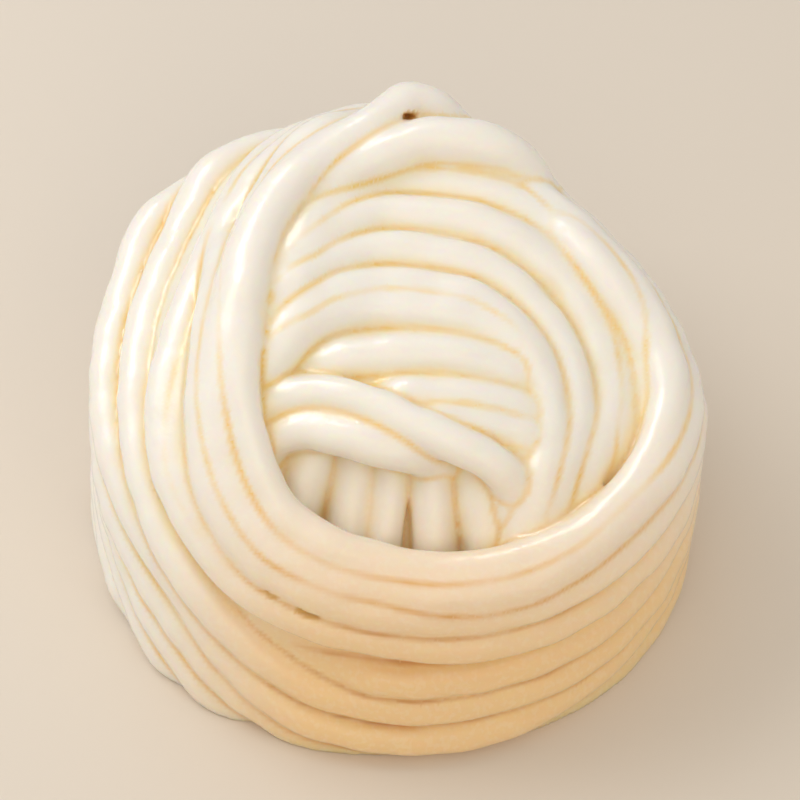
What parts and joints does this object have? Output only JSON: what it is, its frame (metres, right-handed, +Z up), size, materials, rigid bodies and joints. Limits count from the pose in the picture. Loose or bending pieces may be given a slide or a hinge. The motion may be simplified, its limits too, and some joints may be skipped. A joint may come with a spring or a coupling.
{
  "type": "steamed silk-thread bun",
  "caption": "Steamed bun of thick dough strands wound into a round collar that rises to a crest at one side and lies open over arched inner strands at the front.",
  "frame": {"origin": "middle of the bounding box at the flat underside the bun rests on", "axes": "+Z up; -Y is the low open side, where the rim dips and the inside shows; -X is the high crest"},
  "size_m": [0.0804, 0.079, 0.0511],
  "materials": {
    "dough": "smooth steamed wheat dough, cream with a moist sheen, warmer in the grooves between strands"
  },
  "bodies": {
    "root": {"bun": "dough"}
  },
  "joints": []
}
